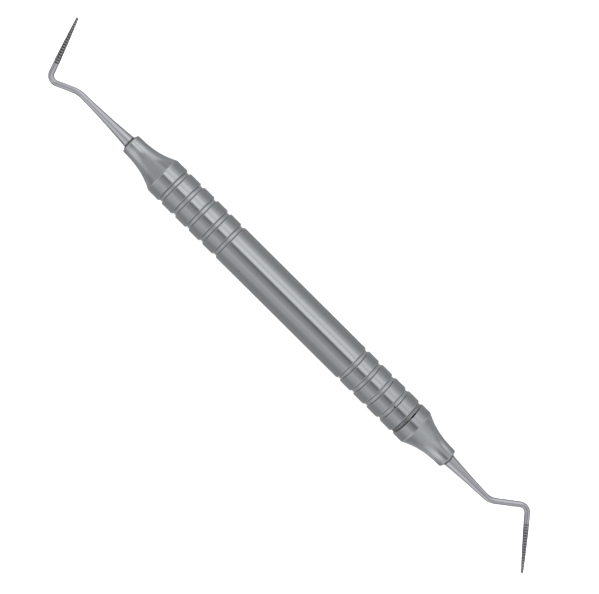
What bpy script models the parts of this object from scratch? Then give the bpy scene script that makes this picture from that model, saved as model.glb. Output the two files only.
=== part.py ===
"""Double-ended dental hand instrument: a hollow grooved steel handle with a bent, ring-marked tip each end.

The handle lies along X, at rest on a level surface at Z = 0, and the origin is the point that it rests on
under the middle of the handle. End A points along +X and end B along -X. Both working ends lie in the
horizontal plane through the handle's axis.
"""

import math

import bmesh
import bpy
from mathutils import Matrix, Vector

MM = 0.001

# Handle
HANDLE_DIA = 10.0 * MM
BARREL_WALL = 0.9 * MM
PLAIN_LENGTH = 42.2 * MM  # between the two innermost grooves
GROOVE_COUNT = 5  # at each end; the outermost one is the joint between the barrel and a nose cone
GROOVE_PITCH = 4.53 * MM
GROOVE_MOUTH = 1.4 * MM
GROOVE_FLOOR = 0.7 * MM
GROOVE_DEPTH = 0.42 * MM

# Nose cones
NOSE_CURVE = 2.45  # how quickly the concave cone closes on its small end
NOSE_CURVE_STEPS = 10
NOSE_RIM = 0.665 * MM  # wall around the seal at the end face
NOSE_EDGE_RADIUS = 0.4 * MM
SPIGOT_LENGTH = 6.0 * MM
SPIGOT_CHAMFER = 0.4 * MM
SPIGOT_CLEARANCE = 0.03 * MM
SEAT_GAP = 0.02 * MM  # between faces that meet end to end

# Working ends
ROOT_DIA = 3.25 * MM  # where the shank leaves the nose cone
SHANK_DIA = 1.53 * MM
SHANK_TAPER = 17.1 * MM
SHANK_CURVE = 1.8
TIP_DIA = 1.44 * MM
TIP_END_DIA = 0.65 * MM
TIP_TAPER = 10.6 * MM
TIP_CURVE = 0.85
TANG_STEP = 0.125 * MM  # the tang is this much smaller than the root, all round
TANG_LENGTH = 9.0 * MM
TANG_CHAMFER = 0.3 * MM
TANG_CLEARANCE = 0.03 * MM
TANG_END_ROOM = 0.5 * MM

# Seals around the shank roots
SEAL_WALL = 0.3 * MM
SEAL_DEPTH = 0.5 * MM
SEAL_PROUD = 0.25 * MM
SEAL_CLEARANCE = 0.03 * MM

# Facets
HANDLE_SIDES = 48
SHANK_SIDES = 20
DEGREES_PER_BEND_STEP = 9.0
TAPER_STEPS = 7
ROUND_STEPS = 3

# Each end: the nose's plain land runs from the joint groove to the corner where its cone starts. The shank
# leaves the cone's face straight, turns to one side, and the tip turns back across the axis.
ENDS = {
    "a": {
        "nose_land": 4.0 * MM,
        "nose_cone": 10.85 * MM,
        "straight": 17.26 * MM,
        "offset_length": 7.73 * MM,
        "offset_angle": math.radians(24.3),
        "offset_bend": 7.0 * MM,
        "tip_length": 16.6 * MM,
        "tip_angle": math.radians(70.4),
        "tip_bend": 1.95 * MM,
    },
    "b": {
        "nose_land": 3.4 * MM,
        "nose_cone": 10.97 * MM,
        "straight": 14.36 * MM,
        "offset_length": 9.51 * MM,
        "offset_angle": math.radians(36.85),
        "offset_bend": 4.9 * MM,
        "tip_length": 16.7 * MM,
        "tip_angle": math.radians(50.0),
        "tip_bend": 2.0 * MM,
    },
}

STEEL = {"colour": (0.47, 0.48, 0.49, 1.0), "roughness": 0.28, "metallic": 1.0}
BRIGHT_STEEL = {"colour": (0.55, 0.55, 0.59, 1.0), "roughness": 0.22, "metallic": 1.0}
DARK_RESIN = {"colour": (0.03, 0.03, 0.03, 1.0), "roughness": 0.5, "metallic": 0.0}

# Sizes that follow from the ones above
HANDLE_RADIUS = HANDLE_DIA / 2
AXIS_HEIGHT = HANDLE_RADIUS * math.cos(math.pi / HANDLE_SIDES)
BARREL_BORE_RADIUS = HANDLE_RADIUS - BARREL_WALL
FLOOR_RADIUS = HANDLE_RADIUS - GROOVE_DEPTH
JOINT_GROOVE = PLAIN_LENGTH / 2 + (GROOVE_COUNT - 1) * GROOVE_PITCH
BARREL_END = JOINT_GROOVE + GROOVE_FLOOR / 2
NOSE_SEAT = BARREL_END + SEAT_GAP
SPIGOT_RADIUS = BARREL_BORE_RADIUS - SPIGOT_CLEARANCE
ROOT_RADIUS = ROOT_DIA / 2
TANG_RADIUS = ROOT_RADIUS - TANG_STEP
TANG_BORE_RADIUS = TANG_RADIUS + TANG_CLEARANCE
SEAL_INNER_RADIUS = ROOT_RADIUS + SEAL_CLEARANCE
SEAL_OUTER_RADIUS = SEAL_INNER_RADIUS + SEAL_WALL
SEAL_SEAT_RADIUS = SEAL_OUTER_RADIUS + SEAL_CLEARANCE
NOSE_FACE_RADIUS = SEAL_SEAT_RADIUS + NOSE_RIM


def clear_scene():
    """Removes every object, so that only this instrument is left."""
    for thing in list(bpy.data.objects):
        bpy.data.objects.remove(thing, do_unlink=True)


def make_material(name, finish):
    """A Principled material with one finish's colour, roughness and metallic value."""
    made = bpy.data.materials.new(name)
    made.use_nodes = True
    shader = made.node_tree.nodes["Principled BSDF"]
    shader.inputs["Base Color"].default_value = finish["colour"]
    shader.inputs["Roughness"].default_value = finish["roughness"]
    shader.inputs["Metallic"].default_value = finish["metallic"]
    return made


def finish_object(name, bm, material):
    """Turns the bmesh into a named, smooth-shaded object."""
    bmesh.ops.recalc_face_normals(bm, faces=bm.faces)
    mesh = bpy.data.meshes.new(name)
    bm.to_mesh(mesh)
    bm.free()
    mesh.shade_smooth()
    mesh.set_sharp_from_angle(angle=math.radians(30))
    mesh.materials.append(material)
    made = bpy.data.objects.new(name, mesh)
    made.location.z = AXIS_HEIGHT
    bpy.context.scene.collection.objects.link(made)
    return made


def turned(name, outline, material, closed):
    """Spins an outline of (x, radius) points about the handle's axis.

    A closed outline joins its last point to its first. An open one starts and ends on the axis.
    """
    bm = bmesh.new()
    half_step = math.pi / HANDLE_SIDES
    points = [Vector((x, r * math.sin(half_step), -r * math.cos(half_step))) for x, r in outline]
    corners = [bm.verts.new(point) for point in points]
    pairs = list(zip(corners, corners[1:]))
    if closed:
        pairs.append((corners[-1], corners[0]))
    edges = [bm.edges.new(pair) for pair in pairs]
    bmesh.ops.spin(
        bm,
        geom=corners + edges,
        cent=(0, 0, 0),
        axis=(1, 0, 0),
        angle=math.tau,
        steps=HANDLE_SIDES,
        use_merge=True,
    )
    bmesh.ops.remove_doubles(bm, verts=bm.verts, dist=1e-7)
    return finish_object(name, bm, material)


def section(point, direction, radius):
    """The place, turn and size of a round section that looks along a direction in the XY plane."""
    turn = direction.to_track_quat("Z", "Y").to_matrix().to_4x4()
    return Matrix.Translation(point) @ turn @ Matrix.Diagonal((radius, radius, radius, 1))


def swept(name, stations, material):
    """Extrudes one round face through stations of (point, direction, radius), with both ends closed."""
    bm = bmesh.new()
    placed = section(*stations[0])
    bmesh.ops.create_circle(bm, cap_ends=True, radius=1, segments=SHANK_SIDES, matrix=placed)
    cap = None
    for station in stations[1:]:
        placed_next = section(*station)
        grown = bmesh.ops.extrude_face_region(bm, geom=cap or bm.faces[:])["geom"]
        if cap:
            bmesh.ops.delete(bm, geom=cap, context="FACES_ONLY")
        cap = [item for item in grown if isinstance(item, bmesh.types.BMFace)]
        moved = [item for item in grown if isinstance(item, bmesh.types.BMVert)]
        bmesh.ops.transform(bm, matrix=placed_next @ placed.inverted(), verts=moved)
        placed = placed_next
    return finish_object(name, bm, material)


def groove(centre):
    """The outline of one groove, from the barrel's middle outwards."""
    return [
        (centre - GROOVE_MOUTH / 2, HANDLE_RADIUS),
        (centre - GROOVE_FLOOR / 2, FLOOR_RADIUS),
        (centre + GROOVE_FLOOR / 2, FLOOR_RADIUS),
        (centre + GROOVE_MOUTH / 2, HANDLE_RADIUS),
    ]


def barrel_outline():
    """The tube: plain middle, whole grooves, and the inner side and floor of a joint groove at each end."""
    half = []
    for index in range(GROOVE_COUNT - 1):
        half += groove(PLAIN_LENGTH / 2 + index * GROOVE_PITCH)
    half += groove(JOINT_GROOVE)[:3]
    half.append((BARREL_END, BARREL_BORE_RADIUS))
    return [(-x, r) for x, r in reversed(half)] + half


def nose_corner(end):
    """Where an end's cone starts, from the handle's middle."""
    return JOINT_GROOVE + end["nose_land"]


def nose_face(end):
    """Where an end's nose cone stops."""
    return nose_corner(end) + end["nose_cone"]


def seal_seat(end):
    """The floor of the seat that an end's seal and shank stand on."""
    return nose_face(end) - SEAL_DEPTH


def tang_end(end):
    """Where an end's tang starts inside the nose cone."""
    return seal_seat(end) - TANG_LENGTH


def nose_radius(share):
    """The cone's radius at a share of the way from its corner to its end face."""
    return NOSE_FACE_RADIUS + (HANDLE_RADIUS - NOSE_FACE_RADIUS) * (1 - share) ** NOSE_CURVE


def nose_outline(end):
    """A nose cone, from the end of its spigot, along the outside, and down its blind bore."""
    edge = min(NOSE_EDGE_RADIUS, 0.8 * NOSE_RIM)
    curve_length = end["nose_cone"] - edge
    face = nose_face(end)
    bore_end = tang_end(end) - TANG_END_ROOM
    outline = [
        (NOSE_SEAT - SPIGOT_LENGTH, 0.0),
        (NOSE_SEAT - SPIGOT_LENGTH, SPIGOT_RADIUS - SPIGOT_CHAMFER),
        (NOSE_SEAT - SPIGOT_LENGTH + SPIGOT_CHAMFER, SPIGOT_RADIUS),
        (NOSE_SEAT, SPIGOT_RADIUS),
        (NOSE_SEAT, FLOOR_RADIUS),
        (JOINT_GROOVE + GROOVE_MOUTH / 2, HANDLE_RADIUS),
    ]
    for step in range(NOSE_CURVE_STEPS):
        share = (step / NOSE_CURVE_STEPS) ** 1.2
        outline.append((nose_corner(end) + share * curve_length, nose_radius(share)))
    for step in range(ROUND_STEPS + 1):
        angle = math.radians(90) * step / ROUND_STEPS
        x = face - edge + edge * math.sin(angle)
        outline.append((x, NOSE_FACE_RADIUS - edge + edge * math.cos(angle)))
    outline += [
        (face, SEAL_SEAT_RADIUS),
        (seal_seat(end), SEAL_SEAT_RADIUS),
        (seal_seat(end), TANG_BORE_RADIUS),
        (bore_end, TANG_BORE_RADIUS),
        (bore_end, 0.0),
    ]
    return outline


def seal_outline(end):
    """The ring that fills the gap between the shank's root and the nose cone."""
    inner_end = seal_seat(end) + SEAT_GAP
    outer_end = nose_face(end) + SEAL_PROUD
    return [
        (inner_end, SEAL_INNER_RADIUS),
        (inner_end, SEAL_OUTER_RADIUS),
        (outer_end, SEAL_OUTER_RADIUS),
        (outer_end, SEAL_INNER_RADIUS),
    ]


def towards(angle):
    """A unit vector in the XY plane, turned from +X by an angle."""
    return Vector((math.cos(angle), math.sin(angle), 0))


def bent_path(end):
    """The centreline from the nose face to the tip: a list of (point, direction), with each bend an arc."""
    angles = [0.0, end["offset_angle"], -end["tip_angle"]]
    lengths = [end["straight"], end["offset_length"], end["tip_length"]]
    bends = [end["offset_bend"], end["tip_bend"]]
    path = [(Vector((nose_face(end), 0, 0)), towards(0))]
    corner = path[0][0]
    for index, radius in enumerate(bends):
        corner = corner + towards(angles[index]) * lengths[index]
        turn = angles[index + 1] - angles[index]
        setback = radius * math.tan(abs(turn) / 2)
        start = corner - towards(angles[index]) * setback
        side = Vector((-math.sin(angles[index]), math.cos(angles[index]), 0)) * math.copysign(1, turn)
        centre = start + side * radius
        steps = math.ceil(math.degrees(abs(turn)) / DEGREES_PER_BEND_STEP)
        for step in range(steps + 1):
            part = turn * step / steps
            point = centre + Matrix.Rotation(part, 3, "Z") @ (start - centre)
            path.append((point, towards(angles[index] + part)))
    tip = corner + towards(angles[2]) * lengths[2]
    path.append((tip, towards(angles[2])))
    return path


def shank_radius(along, length):
    """The shank's radius at a length along it: tapered from the root, plain, and tapered again to the tip."""
    left = length - along
    if left < TIP_TAPER:
        return (TIP_END_DIA + (TIP_DIA - TIP_END_DIA) * (left / TIP_TAPER) ** TIP_CURVE) / 2
    if along >= SHANK_TAPER:
        plain = length - TIP_TAPER - SHANK_TAPER
        return (SHANK_DIA + (TIP_DIA - SHANK_DIA) * (along - SHANK_TAPER) / plain) / 2
    return (SHANK_DIA + (ROOT_DIA - SHANK_DIA) * (1 - along / SHANK_TAPER) ** SHANK_CURVE) / 2


def shank_stations(end):
    """The stations of a working end, from the end of its tang to the rounded tip.

    The root is wider than the tang, so its shoulder sits on the floor of the seal's seat.
    """
    path = bent_path(end)
    inward = Vector((-1, 0, 0))
    root, ahead = path[0]
    tang_start = root + inward * (nose_face(end) - tang_end(end))
    tang_top = root + inward * (SEAL_DEPTH - SEAT_GAP)
    stations = [
        (tang_start, ahead, TANG_RADIUS - TANG_CHAMFER),
        (tang_start + ahead * TANG_CHAMFER, ahead, TANG_RADIUS),
        (tang_top, ahead, TANG_RADIUS),
        (tang_top, ahead, ROOT_RADIUS),
    ]
    length = sum((later[0] - sooner[0]).length for sooner, later in zip(path, path[1:]))
    along = 0.0
    for sooner, later in zip(path, path[1:]):
        stretch = (later[0] - sooner[0]).length
        straight = sooner[1].dot(later[1]) > 0.99999
        steps = TAPER_STEPS if straight else 1
        for step in range(steps):
            part = stretch * step / steps
            place = sooner[0] + (later[0] - sooner[0]) * (step / steps)
            stations.append((place, sooner[1], shank_radius(along + part, length)))
        along += stretch
    tip, ahead = path[-1]
    round_radius = TIP_END_DIA / 2
    for step in range(ROUND_STEPS):
        angle = math.radians(90) * step / ROUND_STEPS
        place = tip - ahead * round_radius * (1 - math.sin(angle))
        stations.append((place, ahead, round_radius * math.cos(angle)))
    return stations


def point_the_other_way(made):
    """Turns an object half round about the vertical, from end A to end B."""
    made.rotation_euler.z = math.pi


def main():
    """Builds the instrument's seven pieces."""
    clear_scene()
    steel = make_material("handle_steel", STEEL)
    bright_steel = make_material("shank_steel", BRIGHT_STEEL)
    resin = make_material("tang_seal", DARK_RESIN)
    turned("barrel", barrel_outline(), steel, closed=True)
    for letter, end in ENDS.items():
        pieces = [
            turned(f"nose_cone_{letter}", nose_outline(end), steel, closed=False),
            turned(f"tang_seal_{letter}", seal_outline(end), resin, closed=True),
            swept(f"working_end_{letter}", shank_stations(end), bright_steel),
        ]
        if letter == "b":
            for piece in pieces:
                point_the_other_way(piece)


main()
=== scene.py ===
"""Looks of a double-ended dental hand instrument, with a grooved handle and two bent, ring-marked tips.

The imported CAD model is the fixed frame. Every CAD node is stood for by a finely turned or drawn piece of
the same size and place: the barrel, two nose cones, two dark seals and two working ends.
All lengths are in metres.
"""

import logging
import math
from collections.abc import Mapping, Sequence
from dataclasses import dataclass
from enum import Enum
from typing import ClassVar, Union

import bpy
from mathutils import Matrix, Vector


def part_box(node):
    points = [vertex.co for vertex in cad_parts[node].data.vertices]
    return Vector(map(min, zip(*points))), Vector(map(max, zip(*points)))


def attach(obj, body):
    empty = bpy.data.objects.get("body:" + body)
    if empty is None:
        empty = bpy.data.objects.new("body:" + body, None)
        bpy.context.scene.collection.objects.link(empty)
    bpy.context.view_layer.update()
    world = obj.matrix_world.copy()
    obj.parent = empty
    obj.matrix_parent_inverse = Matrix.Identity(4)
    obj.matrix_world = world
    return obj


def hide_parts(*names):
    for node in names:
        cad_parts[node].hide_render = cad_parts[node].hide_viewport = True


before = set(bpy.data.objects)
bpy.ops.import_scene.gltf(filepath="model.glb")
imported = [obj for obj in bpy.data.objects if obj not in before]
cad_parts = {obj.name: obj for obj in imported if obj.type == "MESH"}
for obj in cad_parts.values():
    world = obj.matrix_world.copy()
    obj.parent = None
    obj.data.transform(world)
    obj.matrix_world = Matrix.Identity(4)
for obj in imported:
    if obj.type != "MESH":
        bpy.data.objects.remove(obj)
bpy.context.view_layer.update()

LOG = logging.getLogger("instrument")
MM = 0.001
BODY = "root"

Colour = tuple[float, float, float, float]
Operand = Union["Wire", float]


def grey(value: float, warmth: float = 0.0) -> Colour:
    """Gives a grey of that brightness, warmer with a positive warmth and cooler with a negative one."""
    return (value * (1 + warmth), value, value * (1 - warmth), 1.0)


class End(Enum):
    """The instrument's two ends: A points along +X and B along -X."""

    A = "a"
    B = "b"

    @property
    def sign(self) -> int:
        """Gives the direction of the end along X."""
        return 1 if self is End.A else -1

    @property
    def heading(self) -> float:
        """Gives the angle, about +Z from +X, at which the end leaves the handle."""
        return 0.0 if self is End.A else math.pi


class Slot(Enum):
    """The record's material slots."""

    HANDLE = "handle_steel"
    SHANK = "shank_steel"
    SEAL = "tang_seal"


# --------------------------------------------------------------------------------------------------
# Shader maths
# --------------------------------------------------------------------------------------------------


class Wire:
    """One value in a node tree, on which Python's operators do the node maths."""

    def __init__(self, sheet: "NodeSheet", socket: bpy.types.NodeSocket) -> None:
        """Keeps the sheet that the value is on, and the socket that gives it."""
        self.sheet = sheet
        self.socket = socket

    def __add__(self, other: Operand) -> "Wire":
        """Gives self + other."""
        return self.sheet.maths("ADD", self, other)

    def __radd__(self, other: Operand) -> "Wire":
        """Gives other + self."""
        return self.sheet.maths("ADD", other, self)

    def __sub__(self, other: Operand) -> "Wire":
        """Gives self - other."""
        return self.sheet.maths("SUBTRACT", self, other)

    def __rsub__(self, other: Operand) -> "Wire":
        """Gives other - self."""
        return self.sheet.maths("SUBTRACT", other, self)

    def __mul__(self, other: Operand) -> "Wire":
        """Gives self * other."""
        return self.sheet.maths("MULTIPLY", self, other)

    def __rmul__(self, other: Operand) -> "Wire":
        """Gives other * self."""
        return self.sheet.maths("MULTIPLY", other, self)

    def __truediv__(self, other: Operand) -> "Wire":
        """Gives self / other."""
        return self.sheet.maths("DIVIDE", self, other)

    def __abs__(self) -> "Wire":
        """Gives the value without its sign."""
        return self.sheet.maths("ABSOLUTE", self)

    def fraction(self) -> "Wire":
        """Gives the value's part after the decimal point."""
        return self.sheet.maths("FRACT", self)

    def smallest(self, other: Operand) -> "Wire":
        """Gives the smaller of the two values."""
        return self.sheet.maths("MINIMUM", self, other)

    def step(self, start: float, end: float) -> "Wire":
        """Fades smoothly between two values.

        Args:
            start: The value at which the fade is 0.
            end: The value at which the fade is 1. It may be lower than start.

        Returns:
            The fade, from 0 to 1.
        """
        low, high = sorted((start, end))
        settings = {"interpolation_type": "SMOOTHSTEP"}
        sockets = {"Value": self, "From Min": low, "From Max": high}
        fade = self.sheet.add("ShaderNodeMapRange", settings, sockets)
        return fade if start < end else 1 - fade

    def within(self, low: float, high: float, edge: float) -> "Wire":
        """Masks the values between low and high.

        Args:
            low: The lowest value in the mask.
            high: The highest value in the mask.
            edge: The width of the fade outside each of them.

        Returns:
            1 between low and high, falling to 0 outside them.
        """
        return self.step(low - edge, low) * self.step(high + edge, high)


class NodeSheet:
    """A node tree, and the one place where its nodes are added."""

    def __init__(self, tree: bpy.types.NodeTree) -> None:
        """Keeps the tree."""
        self.tree = tree

    def add(
        self,
        kind: str,
        settings: Mapping[str, object] | None = None,
        sockets: Mapping[str | int, object] | None = None,
        output: str | int = 0,
    ) -> Wire:
        """Adds one node.

        Args:
            kind: The node's type.
            settings: Its own settings, set first. "stops" are a colour ramp's (place, colour) pairs.
            sockets: A value or a Wire for each input, by name or number.
            output: The output that is wanted.

        Returns:
            The output as a Wire.
        """
        node = self.tree.nodes.new(kind)
        for name, value in (settings or {}).items():
            if name == "stops":
                self._set_stops(node.color_ramp, value)
            else:
                setattr(node, name, value)
        for name, value in (sockets or {}).items():
            if isinstance(value, Wire):
                self.tree.links.new(value.socket, node.inputs[name])
            else:
                node.inputs[name].default_value = value
        return Wire(self, node.outputs[output])

    @staticmethod
    def _set_stops(ramp: bpy.types.ColorRamp, stops: Sequence[tuple[float, Colour]]) -> None:
        """Gives a colour ramp its stops.

        Args:
            ramp: A new ramp, which has two stops of its own.
            stops: The (place, colour) pairs, lowest place first.
        """
        while len(ramp.elements) < len(stops):
            ramp.elements.new(1.0)
        for element, (place, colour) in zip(ramp.elements, stops):
            element.position = place
            element.color = colour

    def maths(self, operation: str, *operands: Operand) -> Wire:
        """Adds a Math node.

        Args:
            operation: The node's operation.
            operands: Its one or two values.

        Returns:
            The result.
        """
        return self.add("ShaderNodeMath", {"operation": operation}, dict(enumerate(operands)))

    def vector(self, operation: str, *operands: Wire | Sequence[float], output: str = "Vector") -> Wire:
        """Adds a Vector Math node.

        Args:
            operation: The node's operation.
            operands: Its vectors.
            output: "Vector", or "Value" for a length or a distance.

        Returns:
            The result.
        """
        settings = {"operation": operation}
        return self.add("ShaderNodeVectorMath", settings, dict(enumerate(operands)), output)

    def mix(self, factor: Operand, first: Wire | Colour, second: Wire | Colour) -> Wire:
        """Mixes two colours.

        Args:
            factor: 0 for the first colour, 1 for the second.
            first: A colour.
            second: Another one.

        Returns:
            The mixed colour.
        """
        sockets = {0: factor, 6: first, 7: second}
        return self.add("ShaderNodeMix", {"data_type": "RGBA"}, sockets, output=2)

    def noise(self, place: Wire, scale: float, detail: float = 2.0, roughness: float = 0.5) -> Wire:
        """Adds a noise pattern.

        Args:
            place: The coordinates that it reads.
            scale: Its scale, in features per metre.
            detail: Its number of finer layers.
            roughness: The strength of the finer layers.

        Returns:
            The noise, around 0.5.
        """
        sockets = {"Vector": place, "Scale": scale, "Detail": detail, "Roughness": roughness}
        return self.add("ShaderNodeTexNoise", {"noise_dimensions": "3D"}, sockets)

    def parts(self, vector: Wire) -> tuple[Wire, Wire, Wire]:
        """Splits a vector into its X, Y and Z."""
        node = self.add("ShaderNodeSeparateXYZ", None, {0: vector}).socket.node
        return tuple(Wire(self, socket) for socket in node.outputs)


class Paint(NodeSheet):
    """The node tree of one new material, with its Principled shader."""

    def __init__(self, name: str, metallic: float, origin: Vector) -> None:
        """Makes a material and its coordinates.

        Args:
            name: The material's name.
            metallic: Its metallic value.
            origin: The point, in the model's own frame, where the coordinates are 0.
        """
        self.material = bpy.data.materials.new(name)
        self.material.use_nodes = True
        super().__init__(self.material.node_tree)
        self.shader = self.tree.nodes["Principled BSDF"]
        self.shader.inputs["Metallic"].default_value = metallic
        self.object_place = self.add("ShaderNodeTexCoord", output="Object")
        self.place = self.turned_place(origin, 0.0)

    def turned_place(self, origin: Vector, heading: float) -> Wire:
        """Gives coordinates from a point, with X along a heading.

        Args:
            origin: The point where they are 0.
            heading: The angle of their X axis about +Z.

        Returns:
            The coordinates.
        """
        sockets = {"Vector": self.object_place, "Location": origin, "Rotation": (0.0, 0.0, heading)}
        return self.add("ShaderNodeMapping", {"vector_type": "TEXTURE"}, sockets)

    def stretched(self, place: Wire, stretch: Sequence[float]) -> Wire:
        """Gives scaled coordinates. A small number draws a pattern out along its axis."""
        return self.vector("MULTIPLY", place, stretch)

    def feed(self, socket: str, value: Wire | Colour | float) -> None:
        """Sets one of the shader's sockets to a value, or links it.

        Args:
            socket: The socket's name.
            value: A number, a colour or a Wire.
        """
        if isinstance(value, Wire):
            self.tree.links.new(value.socket, self.shader.inputs[socket])
        else:
            self.shader.inputs[socket].default_value = value

    def feed_colour(self, colour: Wire, tone: Wire) -> None:
        """Sets the base colour.

        Args:
            colour: The colour.
            tone: What it is multiplied by, around 1.
        """
        settings = {"operation": "SCALE"}
        self.feed("Base Color", self.add("ShaderNodeVectorMath", settings, {0: colour, "Scale": tone}))

    def bump(self, height: Wire, depth: float) -> None:
        """Makes a height pattern into the surface's relief.

        Args:
            height: The pattern, from 0 to 1.
            depth: The depth of its full range.
        """
        sockets = {"Height": height, "Distance": depth, "Strength": 1.0}
        self.feed("Normal", self.add("ShaderNodeBump", None, sockets))


# --------------------------------------------------------------------------------------------------
# Finishes
# --------------------------------------------------------------------------------------------------


@dataclass(frozen=True)
class Pit:
    """A small casting pit in the surface. It is painted as a near-black dot of shade, because the mesh has
    no hollow there.

    Attributes:
        x: Its place along the handle.
        turn: Its angle about the handle's axis, in degrees from the top towards -Y.
        size: Its diameter.
        sunk: How far it lies below the handle's surface, in a groove.
    """

    x: float
    turn: float
    size: float
    sunk: float = 0.0

    def place(self, radius: float) -> tuple[float, float, float]:
        """Gives the pit's middle, measured from the handle's axis.

        Args:
            radius: The radius of the surface that the pit is sunk from.

        Returns:
            The middle.
        """
        angle = math.radians(self.turn)
        reach = radius - self.sunk
        return (self.x, -reach * math.sin(angle), reach * math.cos(angle))


@dataclass(frozen=True)
class JointStain:
    """The brown film in the joint groove of end B, and the black residue at one place in it.

    Attributes:
        colour: The film.
        residue_colour: The residue.
        reach: How far the film reaches along the handle from the groove's middle.
        fade: The fade at the ends of that reach.
        depths: Shares of the groove's depth between which the film starts.
        wall_cover: How much of the walls it covers.
        floor_cover: How much of the floor it covers at least.
        patch_cover: How much more it covers in its patches.
        pool_cover: How much more it covers where it has pooled.
        pool: The places across the handle, towards +Y, between which the pool starts.
        patch_scale: Patches, per metre.
        residue_wall: Where the residue starts and is full, outwards from the groove's middle.
        residue_span: The ends of the residue across the handle, towards -Y.
        residue_fade: The fade at those ends.
        residue_cover: How much the residue covers.
    """

    colour: Colour = (0.185, 0.172, 0.158, 1.0)
    residue_colour: Colour = (0.02, 0.02, 0.02, 1.0)
    reach: float = 0.8 * MM
    fade: float = 0.1 * MM
    depths: tuple[float, float] = (0.15, 0.60)
    wall_cover: float = 0.40
    floor_cover: float = 0.25
    patch_cover: float = 0.25
    pool_cover: float = 0.30
    pool: tuple[float, float] = (-0.5 * MM, 1.2 * MM)
    patch_scale: float = 620.0
    residue_wall: tuple[float, float] = (0.18 * MM, 0.32 * MM)
    residue_span: tuple[float, float] = (0.9 * MM, 2.1 * MM)
    residue_fade: float = 0.35 * MM
    residue_cover: float = 0.9

    def film(self, handle: "Handle", along: Wire, out: Wire) -> Wire:
        """Masks the film.

        Args:
            handle: The handle.
            along: The place along it.
            out: The distance from its axis.

        Returns:
            1 inside the joint groove of end B.
        """
        outwards = 0 - along
        joint = outwards.within(handle.joint - self.reach, handle.joint + self.reach, self.fade)
        shallow, deep = (handle.radius - share * handle.groove.depth for share in self.depths)
        return joint * out.step(shallow, deep)

    def lay(self, paint: Paint, handle: "Handle", colour: Wire, film: Wire, floor: Wire) -> Wire:
        """Lays the film and the residue over a colour.

        Args:
            paint: The material's node tree.
            handle: The handle.
            colour: The colour under them.
            film: The film's mask.
            floor: 1 on a groove's floor.

        Returns:
            The stained colour.
        """
        along, aside, _ = paint.parts(paint.place)
        patches = paint.noise(paint.place, self.patch_scale, 3.0, 0.6).step(0.30, 0.60)
        pooled = self.floor_cover + self.patch_cover * patches + self.pool_cover * aside.step(*self.pool)
        cover = self.wall_cover + floor * (pooled - self.wall_cover)
        colour = paint.mix(film * cover, colour, self.colour)
        start, full = (handle.joint + place for place in self.residue_wall)
        wall = (0 - along).step(start, full)
        residue = wall * film * (0 - aside).within(*self.residue_span, self.residue_fade)
        return paint.mix(residue * self.residue_cover, colour, self.residue_colour)


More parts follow.
